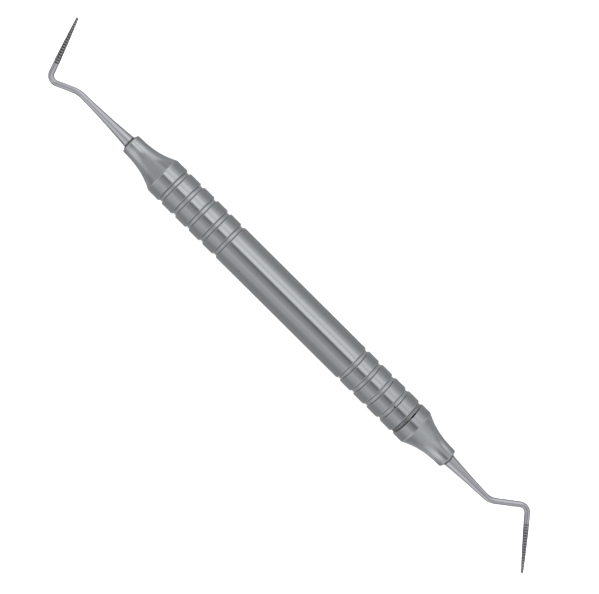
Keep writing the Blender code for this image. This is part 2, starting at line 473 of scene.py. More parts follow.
@dataclass(frozen=True)
class HandleSteel:
    """Satin-polished stainless steel of the barrel and the nose cones.

    Attributes:
        colour: The polished metal.
        groove_colour: The metal on the floor of a turned groove.
        wall_shade_colour: Painted shade on a groove's steep walls, where shade falls in the groove.
        wall_shade: How much of the walls the painted shade covers.
        pit_shade_colour: Painted shade inside a pit, a near-black dot where the mesh has no hollow.
        roughness: Roughness of the polished metal.
        groove_roughness: Roughness of a groove's floor.
        streak_scale: Fine lengthwise streaks, per metre around the handle.
        streak_length: How much longer than wide a streak is.
        streak_tone: Share of the colour that the streaks take or add.
        streak_depth: Relief of the streaks.
        band_width: How much wider than a streak a broad band is.
        band_stretch: How much a band is drawn out along the handle.
        cloud_scale: Broad smudges, per metre.
        cloud_tone: Share of the colour and the roughness that the smudges take or add.
        turning_scale: Fine rings left by the tool, per metre along the handle.
        turning_tone: Share of the colour that those rings take or add.
        stain: What has settled in the joint groove of end B.
    """

    # Shares of a groove's depth
    FLOOR_FADE: ClassVar[tuple[float, float]] = (0.80, 0.96)
    WALL_SPAN: ClassVar[tuple[float, float]] = (0.30, 0.84)
    WALL_EDGE: ClassVar[float] = 0.12

    colour: Colour = (0.505, 0.520, 0.535, 1.0)
    groove_colour: Colour = (0.56, 0.575, 0.59, 1.0)
    wall_shade_colour: Colour = (0.16, 0.165, 0.17, 1.0)
    wall_shade: float = 0.22
    pit_shade_colour: Colour = (0.05, 0.05, 0.055, 1.0)
    roughness: float = 0.17
    groove_roughness: float = 0.32
    streak_scale: float = 900.0
    streak_length: float = 400.0
    streak_tone: float = 0.14
    streak_depth: float = 0.0008 * MM
    band_width: float = 2.6
    band_stretch: float = 0.006
    cloud_scale: float = 90.0
    cloud_tone: float = 0.07
    turning_scale: float = 5200.0
    turning_tone: float = 0.25
    stain: JointStain = JointStain()

    def make(self, name: str, handle: "Handle", pits: Sequence[Pit], stained: bool) -> bpy.types.Material:
        """Makes the material.

        Args:
            name: The material's name.
            handle: The handle, for its grooves.
            pits: The pits in the surface.
            stained: Whether the piece holds a side of the stained joint.

        Returns:
            The material.
        """
        paint = Paint(name, 1.0, handle.axis)
        along, _, _ = paint.parts(paint.place)
        out = paint.vector("LENGTH", paint.stretched(paint.place, (0.0, 1.0, 1.0)), output="Value")
        drawn_out = paint.stretched(paint.place, (1 / self.streak_length, 1.0, 1.0))
        streaks = paint.noise(drawn_out, self.streak_scale, 2.0, 0.6)
        drawn_out = paint.stretched(paint.place, (self.band_stretch, 1.0, 1.0))
        bands = paint.noise(drawn_out, self.streak_scale / self.band_width, 1.0)
        clouds = paint.noise(paint.place, self.cloud_scale, 3.0, 0.55)
        turning = paint.noise(paint.stretched(paint.place, (1.0, 0.03, 0.03)), self.turning_scale, 2.0)

        radius, depth = handle.radius, handle.groove.depth
        cut = self.grooved(along, handle)
        above, below = (radius - share * depth for share in self.FLOOR_FADE)
        floor = cut * out.step(above, below)
        top, foot = (radius - share * depth for share in self.WALL_SPAN)
        wall = cut * out.within(foot, top, self.WALL_EDGE * depth)
        tone = 1 + (streaks - 0.5) * self.streak_tone + (bands - 0.5) * (1.2 * self.streak_tone)
        tone = tone + (clouds - 0.5) * self.cloud_tone + floor * (turning - 0.5) * self.turning_tone
        colour = paint.mix(floor, self.colour, self.groove_colour)
        # Painted shade: the steep walls of every groove are darkened, where shade falls in the groove.
        colour = paint.mix(wall * self.wall_shade, colour, self.wall_shade_colour)
        rough = self.roughness + (clouds - 0.5) * self.cloud_tone + (streaks - 0.5) * 0.05
        rough = rough + floor * (self.groove_roughness - self.roughness)
        if stained:
            film = self.stain.film(handle, along, out)
            colour = self.stain.lay(paint, handle, colour, film, floor)
            rough = rough + film * 0.10
        if pits:
            hollow: Operand = 0.0
            for pit in pits:
                gap = paint.vector("DISTANCE", paint.place, pit.place(radius), output="Value")
                hollow = hollow + gap.step(0.62 * pit.size, 0.30 * pit.size)
            # Painted shade: each pit is a near-black dot in the colour, standing in for the shade in its
            # hollow, which the mesh doesn't have.
            colour = paint.mix(hollow.smallest(0.9), colour, self.pit_shade_colour)
        paint.feed_colour(colour, tone)
        paint.feed("Roughness", rough)
        height = streaks + 0.5 * bands + floor * turning
        paint.bump(height, self.streak_depth)
        return paint.material

    @staticmethod
    def grooved(along: Wire, handle: "Handle") -> Wire:
        """Masks the grooves by their places along the handle.

        Args:
            along: The place along the handle.
            handle: The handle.

        Returns:
            1 inside every groove, and 0 on the lands, the plain middle and the cones.
        """
        first, reach = handle.plain_length / 2, handle.groove.mouth / 2 + 0.2 * MM
        out = abs(along)
        turns = ((out - first) / handle.pitch + 0.5).fraction()
        near = (abs(turns - 0.5) * handle.pitch).step(reach, reach - 0.1 * MM)
        return near * out.within(first - reach, handle.joint + reach, 0.1 * MM)


@dataclass(frozen=True)
class RingMarks:
    """The turned rings that mark a tip.

    Attributes:
        count: How many there are.
        first: From the tip's end to the middle of the first ring.
        pitch: From ring to ring.
        width: Width of each ring's floor.
        flank: Length of each sloping side.
        depth: Depth of each ring.
        middle_dirt: How black the rings are halfway along.
        end_dirt: How black the first and the last few rings are.
        land_dirt: How grey the metal between the rings is.
        dirtiest: The shares of the marked length between which the dirt is at its middle amount.
        dirt_fade: The fade beside them, as a share of the marked length.
        reach: Distance from the tip's axis that is still the tip.
        clean_end: Length of the tip's end that has no ring.
    """

    count: int = 18
    first: float = 0.62 * MM
    pitch: float = 0.67 * MM
    width: float = 0.36 * MM
    flank: float = 0.03 * MM
    depth: float = 0.04 * MM
    middle_dirt: float = 1.0
    end_dirt: float = 0.88
    land_dirt: float = 1.0
    dirtiest: tuple[float, float] = (0.33, 0.80)
    dirt_fade: float = 0.15
    reach: float = 1.2 * MM
    clean_end: float = 0.2 * MM

    @property
    def length(self) -> float:
        """Gives the length of tip that the rings take, from its end."""
        return self.first + (self.count - 0.5) * self.pitch

    def ring(self, back: Wire) -> Wire:
        """Masks the rings.

        Args:
            back: The distance back along the tip from its end.

        Returns:
            1 on a ring's floor and 0 between the rings. The pattern runs on past the marked length.
        """
        turn = ((back - self.first) / self.pitch + 0.5).fraction()
        from_middle = abs(turn - 0.5) * self.pitch
        return from_middle.step(self.width / 2 + self.flank, self.width / 2 - self.flank)


@dataclass(frozen=True)
class ShankSteel:
    """Bright polished steel of the working ends: blackened ring marks on the tips, painted shade on the
    flanks.

    Attributes:
        colour: The polished metal.
        ring_colour: The blackened floor of a ring mark.
        land_colour: The narrow metal between two ring marks.
        residue_colour: The residue on the root, next to the seal. The painted shade on the flanks uses it
            too.
        residue_length: How far the residue reaches from the nose cone's face.
        flank_shade: How much painted shade lies on the flanks, the sides that face away from overhead.
        flank_shade_top: The upward part of the normal where that painted shade ends.
        roughness: Roughness of the polished metal.
        ring_roughness: Roughness of the blackened floors.
        grain_scale: Polishing grain, per metre.
        grain_tone: Share of the colour that the grain takes or adds.
        grain_depth: Relief of the grain.
        cloud_scale: Broad smudges, per metre.
        cloud_tone: Share of the colour that the smudges take or add.
        wear_scale: Places where the dirt has worn off, per metre.
    """

    colour: Colour = (0.555, 0.555, 0.592, 1.0)
    ring_colour: Colour = (0.060, 0.063, 0.065, 1.0)
    land_colour: Colour = (0.42, 0.43, 0.43, 1.0)
    residue_colour: Colour = (0.07, 0.066, 0.062, 1.0)
    residue_length: float = 0.35 * MM
    flank_shade: float = 0.55
    flank_shade_top: float = 0.62
    roughness: float = 0.24
    ring_roughness: float = 0.42
    grain_scale: float = 1500.0
    grain_tone: float = 0.12
    grain_depth: float = 0.0006 * MM
    cloud_scale: float = 260.0
    cloud_tone: float = 0.1
    wear_scale: float = 900.0

    def make(self, owner: "WorkingEnd", tip: Vector, heading: float) -> bpy.types.Material:
        """Makes the material of one working end.

        Args:
            owner: The working end.
            tip: The tip's end.
            heading: The direction from the tip's end back along the tip.

        Returns:
            The material.
        """
        marks = owner.MARKS[owner.end]
        paint = Paint(f"steel_shank_{owner.end.value}", 1.0, owner.axis)
        grain = paint.noise(paint.stretched(paint.place, (0.06, 1.0, 1.0)), self.grain_scale, 3.0, 0.6)
        clouds = paint.noise(paint.place, self.cloud_scale, 2.0)
        worn = paint.noise(paint.place, self.wear_scale, 2.0).step(0.25, 0.75)

        back, aside, up = paint.parts(paint.turned_place(tip, heading))
        across = paint.add("ShaderNodeCombineXYZ", None, {1: aside, 2: up})
        off_axis = paint.vector("LENGTH", across, output="Value")
        marked = back.step(marks.length + 0.02 * MM, marks.length - 0.02 * MM)
        marked = marked * off_axis.step(marks.reach + 0.1 * MM, marks.reach)
        low, high = (share * marks.length for share in marks.dirtiest)
        middle = back.within(low, high, marks.dirt_fade * marks.length)
        land = marked * marks.land_dirt * (0.45 + 0.55 * middle)
        colour = paint.mix(land, self.colour, self.land_colour)
        ring = marks.ring(back) * marked * back.step(marks.clean_end, marks.clean_end + 0.1 * MM)
        dirt = marks.end_dirt + middle * (marks.middle_dirt - marks.end_dirt)
        colour = paint.mix(ring * dirt * (0.90 + 0.10 * worn), colour, self.ring_colour)

        along, _, _ = paint.parts(paint.place)
        reach = owner.face + self.residue_length
        root = (along * owner.end.sign).step(reach + 0.2 * MM, reach)
        colour = paint.mix(root * (0.6 + 0.35 * worn), colour, self.residue_colour)
        # Painted shade: the steel darkens towards the residue's colour wherever its normal leans away from
        # upright, so the sides of the bars look darker.
        _, _, upright = paint.parts(paint.add("ShaderNodeNewGeometry", output="Normal"))
        flank = abs(upright).step(self.flank_shade_top, 0.1)
        colour = paint.mix(flank * self.flank_shade, colour, self.residue_colour)
        tone = 1 + (grain - 0.5) * self.grain_tone + (clouds - 0.5) * self.cloud_tone
        paint.feed_colour(colour, tone)
        rough = self.roughness + (clouds - 0.5) * 0.08
        paint.feed("Roughness", rough + ring * (self.ring_roughness - self.roughness))
        paint.bump(grain + ring * clouds, self.grain_depth)
        return paint.material


@dataclass(frozen=True)
class SealResin:
    """Dark, slightly porous resin of the seals around the shank roots.

    Attributes:
        colour: The resin.
        dust_colour: Fine dust in its pores.
        roughness: Its roughness.
        pore_scale: Pores, per metre.
        pore_depth: Relief of the pores.
    """

    colour: Colour = (0.018, 0.018, 0.020, 1.0)
    dust_colour: Colour = (0.06, 0.058, 0.055, 1.0)
    roughness: float = 0.5
    pore_scale: float = 9000.0
    pore_depth: float = 0.004 * MM

    def make(self, name: str, axis: Vector) -> bpy.types.Material:
        """Makes the material.

        Args:
            name: The material's name.
            axis: The point on the handle's axis at its middle.

        Returns:
            The material.
        """
        paint = Paint(name, 0.0, axis)
        pores = paint.noise(paint.place, self.pore_scale, 3.0)
        clouds = paint.noise(paint.place, self.pore_scale / 6, 2.0)
        paint.feed("Base Color", paint.mix(clouds.step(0.45, 0.7), self.colour, self.dust_colour))
        paint.feed("Roughness", self.roughness + (pores - 0.5) * 0.3)
        paint.bump(pores, self.pore_depth)
        return paint.material


# --------------------------------------------------------------------------------------------------
# Ways of making a mesh
# --------------------------------------------------------------------------------------------------


@dataclass(frozen=True)
class Corner:
    """One corner of a turned outline.

    Attributes:
        x: Its place along the handle.
        radius: Its distance from the handle's axis.
        rounding: The radius of the arc that rounds it off, or 0.
    """

    x: float
    radius: float
    rounding: float = 0.0

    @property
    def point(self) -> Vector:
        """Gives the corner in the outline's plane."""
        return Vector((self.x, self.radius))


@dataclass(frozen=True)
class Lathe:
    """Turns outlines about the handle's axis.

    Attributes:
        axis: The point on the handle's axis at its middle.
        steps: Facets around.
        arc_step: Largest turn between two points of a rounded corner.
        hold: Distance from a corner at which a straight stretch gets a point, to keep its shading flat.
        sharp: The angle from which an edge stays sharp.
    """

    axis: Vector
    steps: int = 192
    arc_step: float = math.radians(14)
    hold: float = 0.05 * MM
    sharp: float = math.radians(40)

    def rounded(self, before: Corner, corner: Corner, after: Corner) -> list[Vector]:
        """Rounds off one corner.

        Args:
            before: The corner before it.
            corner: The corner.
            after: The corner after it.

        Returns:
            The points that stand for the corner.
        """
        back = (before.point - corner.point).normalized()
        ahead = (after.point - corner.point).normalized()
        turn = math.pi - back.angle(ahead)
        if not corner.rounding or turn < self.arc_step / 4:
            return [corner.point]
        setback = corner.rounding * math.tan(turn / 2)
        start = corner.point + back * setback
        middle = corner.point + (back + ahead).normalized() * (corner.rounding / math.cos(turn / 2))
        side = math.copysign(1.0, ahead.y * back.x - ahead.x * back.y)
        count = max(2, math.ceil(turn / self.arc_step))
        spoke = start - middle
        turns = [Matrix.Rotation(-side * turn * step / count, 2) for step in range(count + 1)]
        return [middle + rotation @ spoke for rotation in turns]

    def outline(self, corners: Sequence[Corner], closed: bool) -> list[Vector]:
        """Works out an outline's points.

        Args:
            corners: Its corners, in order.
            closed: Whether the last corner joins the first. An open outline starts and ends on the axis.

        Returns:
            The points, with the rounded corners and the held ends of the straight stretches.
        """
        ring = [corners[-1], *corners, corners[0]] if closed else [corners[0], *corners, corners[-1]]
        stretches: list[list[Vector]] = []
        for before, corner, after in zip(ring, ring[1:], ring[2:]):
            at_end = not closed and (corner is corners[0] or corner is corners[-1])
            stretches.append([corner.point] if at_end else self.rounded(before, corner, after))
        if closed:
            stretches.append([stretches[0][0]])
        points = list(stretches[0])
        for stretch in stretches[1:]:
            gap = stretch[0] - points[-1]
            if gap.length > 4 * self.hold:
                inset = gap.normalized() * self.hold
                points += [points[-1] + inset, stretch[0] - inset]
            points += stretch
        return points

    def turn(self, name: str, corners: Sequence[Corner], closed: bool) -> bpy.types.Object:
        """Turns one piece: a chain of edges is extruded along its outline and spun about the axis.

        Args:
            name: The piece's name.
            corners: The outline's corners.
            closed: Whether the outline is a closed one.

        Returns:
            The piece.
        """
        points = [self.axis + Vector((point.x, 0.0, point.y)) for point in self.outline(corners, closed)]
        bpy.ops.object.select_all(action="DESELECT")
        bpy.ops.mesh.primitive_plane_add(size=MM, location=points[0])
        piece = bpy.context.object
        bpy.ops.object.transform_apply(location=True, rotation=True, scale=True)
        bpy.ops.object.mode_set(mode="EDIT")
        bpy.ops.mesh.select_all(action="SELECT")
        bpy.ops.mesh.merge(type="CENTER")
        for here, there in zip(points, points[1:]):
            bpy.ops.mesh.extrude_region_move(TRANSFORM_OT_translate={"value": there - here})
        bpy.ops.mesh.select_all(action="SELECT")
        bpy.ops.mesh.spin(
            steps=self.steps, angle=math.tau, center=self.axis, axis=(1, 0, 0), use_auto_merge=True
        )
        bpy.ops.mesh.select_all(action="SELECT")
        bpy.ops.mesh.remove_doubles(threshold=0.0001 * MM)
        bpy.ops.mesh.normals_make_consistent(inside=False)
        bpy.ops.object.mode_set(mode="OBJECT")
        return finish_piece(piece, name, self.sharp)


class DrawnBar:
    """A round bar drawn out face by face along a path in a level plane."""

    def __init__(self, start: Vector, heading: float, radius: float, sides: int = 40) -> None:
        """Adds the round face that the bar starts from.

        Args:
            start: The middle of the face.
            heading: The direction in which the bar leaves it, about +Z from +X.
            radius: The face's radius.
            sides: The bar's number of sides.
        """
        self.place = start.copy()
        self.heading = heading
        self.radius = radius
        bpy.ops.object.select_all(action="DESELECT")
        turned = (0, math.pi / 2, heading)
        bpy.ops.mesh.primitive_circle_add(
            vertices=sides, radius=radius, fill_type="NGON", location=start, rotation=turned
        )
        self.piece = bpy.context.object
        bpy.ops.object.transform_apply(location=True, rotation=True, scale=True)
        bpy.ops.object.mode_set(mode="EDIT")
        bpy.ops.mesh.select_all(action="SELECT")

    def draw(self, length: float, turn: float, radius: float) -> None:
        """Extrudes the end face by one step.

        Args:
            length: The step's length along the path.
            turn: The change of direction over the step.
            radius: The radius at its end.
        """
        half = turn / 2
        chord = length * (math.sin(half) / half if turn else 1.0)
        move = Vector((math.cos(self.heading + half), math.sin(self.heading + half), 0.0)) * chord
        self.place += move
        self.heading += turn
        bpy.ops.mesh.extrude_region_move(TRANSFORM_OT_translate={"value": move})
        if turn:
            bpy.ops.transform.rotate(value=-turn, orient_axis="Z", center_override=self.place)
        if radius != self.radius:
            bpy.ops.transform.resize(value=(radius / self.radius,) * 3, center_override=self.place)
            self.radius = radius

    def close(self, name: str, sharp: float = math.radians(50)) -> bpy.types.Object:
        """Draws the end face to a point and finishes the bar.

        Args:
            name: The piece's name.
            sharp: The angle from which an edge stays sharp.

        Returns:
            The piece.
        """
        bpy.ops.mesh.merge(type="CENTER")
        bpy.ops.mesh.select_all(action="SELECT")
        bpy.ops.mesh.normals_make_consistent(inside=False)
        bpy.ops.object.mode_set(mode="OBJECT")
        return finish_piece(self.piece, name, sharp)


def finish_piece(piece: bpy.types.Object, name: str, sharp: float) -> bpy.types.Object:
    """Names a piece and shades it smooth.

    Args:
        piece: The piece, selected and in object mode.
        name: Its name.
        sharp: The angle from which an edge stays sharp.

    Returns:
        The same piece.
    """
    piece.name = name
    piece.data.name = name
    bpy.ops.object.shade_smooth_by_angle(angle=sharp)
    return piece


def dress(piece: bpy.types.Object, material: bpy.types.Material, node: str) -> None:
    """Gives a piece its material, hangs it on the body, hides the CAD node that it stands for, and reports
    it.

    Args:
        piece: The piece.
        material: Its material.
        node: The CAD node.
    """
    piece.data.materials.clear()
    piece.data.materials.append(material)
    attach(piece, BODY)
    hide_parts(node)
    LOG.info("%s: %d faces, stands for %s", piece.name, len(piece.data.polygons), node)


# --------------------------------------------------------------------------------------------------
# The handle
# --------------------------------------------------------------------------------------------------


@dataclass(frozen=True)
class GrooveForm:
    """The section of a grip groove.

    Attributes:
        mouth: Width between the edges of the lands beside it, before they are rounded.
        floor: Width of its floor.
        depth: Depth of the floor.
        edge: Rounding of the lands' edges.
        root: Rounding at the foot of its walls.
    """

    mouth: float = 1.28 * MM
    floor: float = 0.70 * MM
    depth: float = 0.42 * MM
    edge: float = 0.28 * MM
    root: float = 0.09 * MM

    def corners(self, centre: float, radius: float) -> list[Corner]:
        """Gives a whole groove's corners, in the direction of +X.

        Args:
            centre: The groove's place along the handle.
            radius: The handle's radius.

        Returns:
            The corners.
        """
        return [
            Corner(centre - self.mouth / 2, radius, self.edge),
            Corner(centre - self.floor / 2, radius - self.depth, self.root),
            Corner(centre + self.floor / 2, radius - self.depth, self.root),
            Corner(centre + self.mouth / 2, radius, self.edge),
        ]


@dataclass(frozen=True)
class Handle:
    """What the barrel and the nose cones share.

    Attributes:
        radius: The handle's radius.
        axis: The point on its axis at its middle.
        groove: The section of its grooves.
        plain_length: Length between the two innermost grooves.
        pitch: From groove to groove.
        grooves: Grooves at each end. The outermost is the joint between the barrel and a nose cone.
        wall: Thickness of the barrel's tube.
        seat_gap: Gap between faces that meet end to end.
        steel: The handle's finish.
        pits: The pits in its surface.
    """

    radius: float
    axis: Vector
    groove: GrooveForm = GrooveForm()
    plain_length: float = 42.2 * MM
    pitch: float = 4.53 * MM
    grooves: int = 5
    wall: float = 0.9 * MM
    seat_gap: float = 0.02 * MM
    steel: HandleSteel = HandleSteel()
    pits: tuple[Pit, ...] = (
        Pit(14.24 * MM, -43.0, 0.32 * MM),
        Pit(10.7 * MM, -10.0, 0.26 * MM),
        Pit(-35.2 * MM, 18.0, 0.40 * MM, sunk=0.2 * MM),
        Pit(-34.9 * MM, -3.0, 0.44 * MM, sunk=0.4 * MM),
        Pit(-39.85 * MM, 12.5, 0.46 * MM, sunk=0.25 * MM),
        Pit(-39.85 * MM, 17.0, 0.46 * MM, sunk=0.25 * MM),
        Pit(-39.80 * MM, -8.0, 0.36 * MM, sunk=0.25 * MM),
        Pit(-39.80 * MM, -19.0, 0.36 * MM, sunk=0.25 * MM),
        Pit(-46.9 * MM, -4.0, 0.26 * MM),
        Pit(20.4 * MM, 57.0, 0.40 * MM),
        Pit(-8.3 * MM, 141.0, 0.30 * MM),
        Pit(27.6 * MM, -118.0, 0.28 * MM),
    )

    @classmethod
    def from_frame(cls) -> "Handle":
        """Sizes and places the handle by the CAD barrel's box.

        Returns:
            The handle.
        """
        low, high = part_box("barrel")
        middle = (low + high) / 2
        return cls(radius=(high.z - low.z) / 2, axis=Vector((middle.x, middle.y, middle.z)))

    @property
    def joint(self) -> float:
        """Gives the place of the joint groove."""
        return self.plain_length / 2 + (self.grooves - 1) * self.pitch

    @property
    def bore(self) -> float:
        """Gives the radius of the barrel's bore."""
        return self.radius - self.wall

    def material(self, name: str, low: float, high: float, stained: bool) -> bpy.types.Material:
        """Makes the handle's steel for one piece.

        Args:
            name: The material's name.
            low: The lowest X of the piece.
            high: Its highest X.
            stained: Whether the piece holds a side of the stained joint.

        Returns:
            The material.
        """
        pits = [pit for pit in self.pits if low < pit.x < high]
        return self.steel.make(name, self, pits, stained)


@dataclass(frozen=True)
class Barrel:
    """The grooved steel tube in the middle of the handle.

    Attributes:
        handle: What it shares with the nose cones.
        name: The piece's name.
        node: The CAD node's name.
        shoulder: Rounding of its end faces' outer edges.
    """

    handle: Handle
    name: str = "grooved_barrel"
    node: str = "barrel"
    shoulder: float = 0.04 * MM

    def corners(self) -> list[Corner]:
        """Gives the tube's closed outline.

        Returns:
            The corners of the outside, towards +X. The bore closes the outline.
        """
        handle, groove = self.handle, self.handle.groove
        end = handle.joint + groove.floor / 2
        half: list[Corner] = []
        for index in range(handle.grooves - 1):
            half += groove.corners(handle.plain_length / 2 + index * handle.pitch, handle.radius)
        half += groove.corners(handle.joint, handle.radius)[:2]
        half += [Corner(end, handle.radius - groove.depth, self.shoulder), Corner(end, handle.bore)]
        return [Corner(-corner.x, corner.radius, corner.rounding) for corner in reversed(half)] + half

    def build(self, lathe: Lathe) -> bpy.types.Object:
        """Turns the barrel and dresses it.

        Args:
            lathe: The lathe.

        Returns:
            The piece.
        """
        piece = lathe.turn(self.name, self.corners(), closed=True)
        low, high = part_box(self.node)
        steel = self.handle.material("steel_barrel", low.x, high.x, stained=True)
        dress(piece, steel, self.node)
        return piece


@dataclass(frozen=True)
class NoseCone:
    """A bell-shaped cone between the barrel and a working end.

    Attributes:
        handle: What it shares with the barrel.
        end: The end that it is on.
        curve: How quickly the hollow cone closes on its small end.
        curve_steps: Points along the cone.
        face_radius: Radius of the small end.
        edge: Rounding of the small end's edge.
        corner: Rounding of the corner where the cone starts.
        shoulder: Rounding of the edge at the joint.
        seat_edge: Rounding of the edge of the seal's seat.
        seat_radius: Radius of the seal's seat.
        seat_depth: Depth of the seal's seat.
        tang_bore: Radius of the tang's blind bore.
        tang_depth: Depth of the bore under the seat.
        spigot_length: Length that sits in the barrel.
        spigot_gap: Gap between the spigot and the bore.
        spigot_edge: Rounding of the spigot's end.
    """

    LAND: ClassVar[Mapping[End, float]] = {End.A: 4.0 * MM, End.B: 3.4 * MM}

    handle: Handle
    end: End
    curve: float = 2.45
    curve_steps: int = 26
    face_radius: float = 2.65 * MM
    edge: float = 0.4 * MM
    corner: float = 0.8 * MM
    shoulder: float = 0.03 * MM
    seat_edge: float = 0.06 * MM
    seat_radius: float = 1.985 * MM
    seat_depth: float = 0.5 * MM
    tang_bore: float = 1.53 * MM
    tang_depth: float = 9.5 * MM
    spigot_length: float = 6.0 * MM
    spigot_gap: float = 0.03 * MM
    spigot_edge: float = 0.4 * MM

    @property
    def node(self) -> str:
        """Gives the CAD node's name."""
        return f"nose_cone_{self.end.value}"

    @property
    def land(self) -> float:
        """Gives the length from the joint groove to the corner where the cone starts."""
        return self.LAND[self.end]

    @property
    def face(self) -> float:
        """Gives the distance of the small end's face from the handle's middle."""
        low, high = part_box(self.node)
        return max(abs(low.x), abs(high.x))

    def corners(self) -> list[Corner]:
        """Gives the cone's open outline.

        Returns:
            The corners of the spigot, then of the outside, then down the tang's bore.
        """
        handle, groove = self.handle, self.handle.groove
        seat = handle.joint + groove.floor / 2 + handle.seat_gap
        start = handle.joint + self.land
        length = self.face - self.edge - start
        spigot = handle.bore - self.spigot_gap
        seal_seat = self.face - self.seat_depth
        land_edge = groove.corners(handle.joint, handle.radius)[-1]
        corners = [
            Corner(seat - self.spigot_length, 0.0),
            Corner(seat - self.spigot_length, spigot, self.spigot_edge),
            Corner(seat, spigot),
            Corner(seat, handle.radius - groove.depth, self.shoulder),
            land_edge,
            Corner(start, handle.radius, self.corner),
        ]
        for step in range(1, self.curve_steps + 1):
            share = step / self.curve_steps
            swell = (handle.radius - self.face_radius) * (1 - share) ** self.curve
            corners.append(Corner(start + share * length, self.face_radius + swell))
        corners += [
            Corner(self.face, self.face_radius, self.edge),
            Corner(self.face, self.seat_radius, self.seat_edge),
            Corner(seal_seat, self.seat_radius),
            Corner(seal_seat, self.tang_bore),
            Corner(seal_seat - self.tang_depth, self.tang_bore),
            Corner(seal_seat - self.tang_depth, 0.0),
        ]
        return [Corner(self.end.sign * corner.x, corner.radius, corner.rounding) for corner in corners]

    def build(self, lathe: Lathe) -> bpy.types.Object:
        """Turns the nose cone and dresses it.

        Args:
            lathe: The lathe.

        Returns:
            The piece.
        """
        piece = lathe.turn(f"turned_nose_cone_{self.end.value}", self.corners(), closed=False)
        low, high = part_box(self.node)
        stained = self.end is End.B
        steel = self.handle.material(f"steel_nose_{self.end.value}", low.x, high.x, stained)
        dress(piece, steel, self.node)
        return piece


# --------------------------------------------------------------------------------------------------
# Seals and working ends
# --------------------------------------------------------------------------------------------------


@dataclass(frozen=True)
class TangSeal:
    """The thin dark ring between a nose cone and the shank's root.

    Attributes:
        end: The end that it is on.
        inner_radius: Radius of its hole.
        outer_radius: Its outer radius.
        lip: Rounding of its outer edge.
        lip_drop: How far that edge lies behind its face.
        inner_lip: Width and rounding of the rim around its hole.
    """

    end: End
    inner_radius: float = 1.645 * MM
    outer_radius: float = 1.955 * MM
    lip: float = 0.12 * MM
    lip_drop: float = 0.06 * MM
    inner_lip: float = 0.05 * MM

    @property
    def node(self) -> str:
        """Gives the CAD node's name."""
        return f"tang_seal_{self.end.value}"

    def build(self, lathe: Lathe, resin: bpy.types.Material) -> bpy.types.Object:
        """Turns the seal and dresses it.

        Args:
            lathe: The lathe.
            resin: The seal's material.

        Returns:
            The piece.
        """
        low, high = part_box(self.node)
        near, far = sorted((low.x, high.x), key=abs)
        corners = [
            Corner(near, self.inner_radius),
            Corner(near, self.outer_radius),
            Corner(far - self.end.sign * self.lip_drop, self.outer_radius, self.lip),
            Corner(far, self.inner_radius + self.inner_lip, self.inner_lip),
            Corner(far, self.inner_radius),
        ]
        piece = lathe.turn(f"resin_seal_{self.end.value}", corners, closed=True)
        dress(piece, resin, self.node)
        return piece


@dataclass(frozen=True)
class Bends:
    """Where a working end bends. The lengths run between the corners that its bends round off.

    Attributes:
        straight: Length that leaves the handle in line with it.
        offset_length: Length of the offset stretch.
        offset_angle: Turn into the offset stretch.
        offset_bend: Radius of that bend.
        tip_length: Length of the tip.
        tip_angle: Angle between the handle's line and the tip, on the other side.
        tip_bend: Radius of the bend into the tip.
    """

    straight: float
    offset_length: float
    offset_angle: float
    offset_bend: float
    tip_length: float
    tip_angle: float
    tip_bend: float


BENDS = {
    End.A: Bends(
        straight=17.26 * MM,
        offset_length=7.73 * MM,
        offset_angle=math.radians(24.3),
        offset_bend=7.0 * MM,
        tip_length=16.6 * MM,
        tip_angle=math.radians(70.4),
        tip_bend=1.95 * MM,
    ),
    End.B: Bends(
        straight=14.36 * MM,
        offset_length=9.51 * MM,
        offset_angle=math.radians(36.85),
        offset_bend=4.9 * MM,
        tip_length=16.7 * MM,
        tip_angle=math.radians(50.0),
        tip_bend=2.0 * MM,
    ),
}


@dataclass(frozen=True)
class Run:
    """A stretch of a working end's centreline.

    Attributes:
        length: Its length.
        turn: How far it turns, which is 0 for a straight stretch.
    """

    length: float
    turn: float = 0.0


